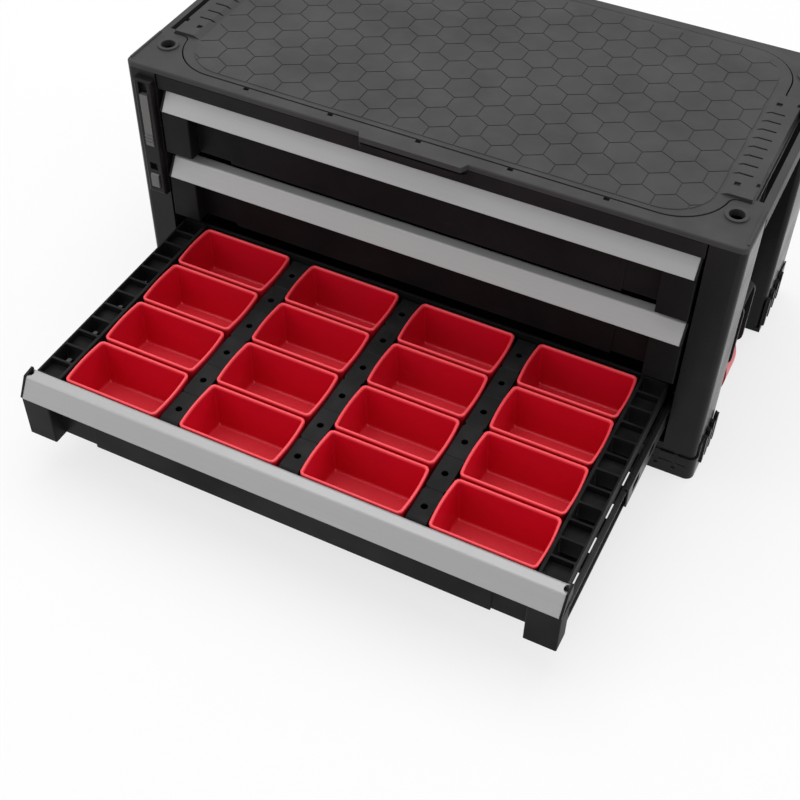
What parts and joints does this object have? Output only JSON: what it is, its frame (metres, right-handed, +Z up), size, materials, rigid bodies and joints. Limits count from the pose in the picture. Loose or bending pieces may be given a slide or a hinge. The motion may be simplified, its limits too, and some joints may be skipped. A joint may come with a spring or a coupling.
{
  "type": "stackable tool chest with drawers",
  "caption": "Low stackable tool chest with full-width drawers on telescopic slides; the lowest drawer holds lift-out parts bins. Grey pull strips, hexagon-patterned top.",
  "frame": {"origin": "on the floor, under the middle of the chest and its open lowest drawer", "axes": "+X to the chest's right as seen from the front, +Y from the front to the back, +Z up"},
  "size_m": [0.57, 0.5368, 0.267],
  "materials": {
    "black_resin": "fine grained moulded black resin",
    "post_resin": "fine grained moulded black resin, slightly polished",
    "top_resin": "dark grey moulded resin with a matt grain",
    "drawer_resin": "matt charcoal moulded resin",
    "pull_grey": "satin grey anodised strip",
    "bin_red": "translucent-looking glossy red moulded plastic",
    "divider_black": "matt charcoal moulded resin",
    "slide_steel": "black coated rolled steel",
    "latch_red": "smooth red moulded plastic",
    "lock_grey": "smooth grey moulded plastic",
    "screw_steel": "plain steel"
  },
  "bodies": {
    "casing": {"base_pan": "black_resin", "left_wall": "black_resin", "right_wall": "black_resin", "front_left_post": "post_resin", "front_right_post": "post_resin", "rear_left_post": "post_resin", "rear_right_post": "post_resin", "rear_panel": "black_resin", "top_frame": "top_resin", "hex_tray": "top_resin", "front_header": "black_resin", "front_left_foot": "black_resin", "front_right_foot": "black_resin", "rear_left_foot": "black_resin", "rear_right_foot": "black_resin", "foot_screws": "screw_steel", "latch_screws": "screw_steel", "lock_housing": "black_resin", "left_latch_bracket": "black_resin", "right_latch_bracket": "black_resin", "latch_pins": "screw_steel", "drawer_1_outer_slides": "slide_steel", "drawer_2_outer_slides": "slide_steel", "drawer_3_outer_slides": "slide_steel"},
    "drawer_1": {"drawer_1_tray": "drawer_resin", "drawer_1_pull": "pull_grey", "drawer_1_pull_caps": "black_resin", "drawer_1_inner_slides": "slide_steel"},
    "drawer_1_middle": {"drawer_1_middle_slides": "slide_steel"},
    "drawer_2": {"drawer_2_tray": "drawer_resin", "drawer_2_pull": "pull_grey", "drawer_2_pull_caps": "black_resin", "drawer_2_inner_slides": "slide_steel"},
    "drawer_2_middle": {"drawer_2_middle_slides": "slide_steel"},
    "drawer_3": {"drawer_3_tray": "drawer_resin", "drawer_3_pull": "pull_grey", "drawer_3_pull_caps": "black_resin", "drawer_3_inner_slides": "slide_steel", "bin_dividers": "divider_black"},
    "drawer_3_middle": {"drawer_3_middle_slides": "slide_steel"},
    "bin_1_1": {"bin_1_1": "bin_red"},
    "bin_1_2": {"bin_1_2": "bin_red"},
    "bin_1_3": {"bin_1_3": "bin_red"},
    "bin_1_4": {"bin_1_4": "bin_red"},
    "bin_2_1": {"bin_2_1": "bin_red"},
    "bin_2_2": {"bin_2_2": "bin_red"},
    "bin_2_3": {"bin_2_3": "bin_red"},
    "bin_2_4": {"bin_2_4": "bin_red"},
    "bin_3_1": {"bin_3_1": "bin_red"},
    "bin_3_2": {"bin_3_2": "bin_red"},
    "bin_3_3": {"bin_3_3": "bin_red"},
    "bin_3_4": {"bin_3_4": "bin_red"},
    "bin_4_1": {"bin_4_1": "bin_red"},
    "bin_4_2": {"bin_4_2": "bin_red"},
    "bin_4_3": {"bin_4_3": "bin_red"},
    "bin_4_4": {"bin_4_4": "bin_red"},
    "lock_bar": {"lock_bar": "lock_grey"},
    "lock_button": {"lock_button": "lock_grey"},
    "left_latch": {"left_latch_lever": "latch_red"},
    "right_latch": {"right_latch_lever": "latch_red"}
  },
  "joints": [
    {"name": "drawer_1_slide", "type": "slide", "parent": "casing", "child": "drawer_1", "axis": [0, 1, 0], "range_m": [-0.243, 0]},
    {"name": "drawer_1_middle_slide", "type": "slide", "parent": "casing", "child": "drawer_1_middle", "axis": [0, 1, 0], "range_m": [-0.1215, 0]},
    {"name": "drawer_2_slide", "type": "slide", "parent": "casing", "child": "drawer_2", "axis": [0, 1, 0], "range_m": [-0.243, 0]},
    {"name": "drawer_2_middle_slide", "type": "slide", "parent": "casing", "child": "drawer_2_middle", "axis": [0, 1, 0], "range_m": [-0.1215, 0]},
    {"name": "drawer_3_slide", "type": "slide", "parent": "casing", "child": "drawer_3", "axis": [0, -1, 0], "range_m": [-0.243, 0]},
    {"name": "drawer_3_middle_slide", "type": "slide", "parent": "casing", "child": "drawer_3_middle", "axis": [0, -1, 0], "range_m": [-0.1215, 0]},
    {"name": "bin_1_1_lift", "type": "slide", "parent": "drawer_3", "child": "bin_1_1", "axis": [0, 0, 1], "range_m": [0, 0.05]},
    {"name": "bin_1_2_lift", "type": "slide", "parent": "drawer_3", "child": "bin_1_2", "axis": [0, 0, 1], "range_m": [0, 0.05]},
    {"name": "bin_1_3_lift", "type": "slide", "parent": "drawer_3", "child": "bin_1_3", "axis": [0, 0, 1], "range_m": [0, 0.05]},
    {"name": "bin_1_4_lift", "type": "slide", "parent": "drawer_3", "child": "bin_1_4", "axis": [0, 0, 1], "range_m": [0, 0.05]},
    {"name": "bin_2_1_lift", "type": "slide", "parent": "drawer_3", "child": "bin_2_1", "axis": [0, 0, 1], "range_m": [0, 0.05]},
    {"name": "bin_2_2_lift", "type": "slide", "parent": "drawer_3", "child": "bin_2_2", "axis": [0, 0, 1], "range_m": [0, 0.05]},
    {"name": "bin_2_3_lift", "type": "slide", "parent": "drawer_3", "child": "bin_2_3", "axis": [0, 0, 1], "range_m": [0, 0.05]},
    {"name": "bin_2_4_lift", "type": "slide", "parent": "drawer_3", "child": "bin_2_4", "axis": [0, 0, 1], "range_m": [0, 0.05]},
    {"name": "bin_3_1_lift", "type": "slide", "parent": "drawer_3", "child": "bin_3_1", "axis": [0, 0, 1], "range_m": [0, 0.05]},
    {"name": "bin_3_2_lift", "type": "slide", "parent": "drawer_3", "child": "bin_3_2", "axis": [0, 0, 1], "range_m": [0, 0.05]},
    {"name": "bin_3_3_lift", "type": "slide", "parent": "drawer_3", "child": "bin_3_3", "axis": [0, 0, 1], "range_m": [0, 0.05]},
    {"name": "bin_3_4_lift", "type": "slide", "parent": "drawer_3", "child": "bin_3_4", "axis": [0, 0, 1], "range_m": [0, 0.05]},
    {"name": "bin_4_1_lift", "type": "slide", "parent": "drawer_3", "child": "bin_4_1", "axis": [0, 0, 1], "range_m": [0, 0.05]},
    {"name": "bin_4_2_lift", "type": "slide", "parent": "drawer_3", "child": "bin_4_2", "axis": [0, 0, 1], "range_m": [0, 0.05]},
    {"name": "bin_4_3_lift", "type": "slide", "parent": "drawer_3", "child": "bin_4_3", "axis": [0, 0, 1], "range_m": [0, 0.05]},
    {"name": "bin_4_4_lift", "type": "slide", "parent": "drawer_3", "child": "bin_4_4", "axis": [0, 0, 1], "range_m": [0, 0.05]},
    {"name": "lock_bar_slide", "type": "slide", "parent": "casing", "child": "lock_bar", "axis": [0, 0, 1], "range_m": [0, 0.01]},
    {"name": "lock_button_press", "type": "slide", "parent": "casing", "child": "lock_button", "axis": [0, 1, 0], "range_m": [0, 0.002], "stiffness_N_per_m": 400},
    {"name": "left_latch_hinge", "type": "hinge", "parent": "casing", "child": "left_latch", "pos_m": [-0.27, 0.0536, 0.1], "axis": [0, 1, 0], "range_deg": [0, 80]},
    {"name": "right_latch_hinge", "type": "hinge", "parent": "casing", "child": "right_latch", "pos_m": [0.27, 0.0536, 0.1], "axis": [0, -1, 0], "range_deg": [0, 80]}
  ],
  "couplings": [
    {"joint": "drawer_1_middle_slide", "follows": "drawer_1_slide", "ratio": 0.5},
    {"joint": "drawer_2_middle_slide", "follows": "drawer_2_slide", "ratio": 0.5},
    {"joint": "drawer_3_middle_slide", "follows": "drawer_3_slide", "ratio": 0.5}
  ]
}
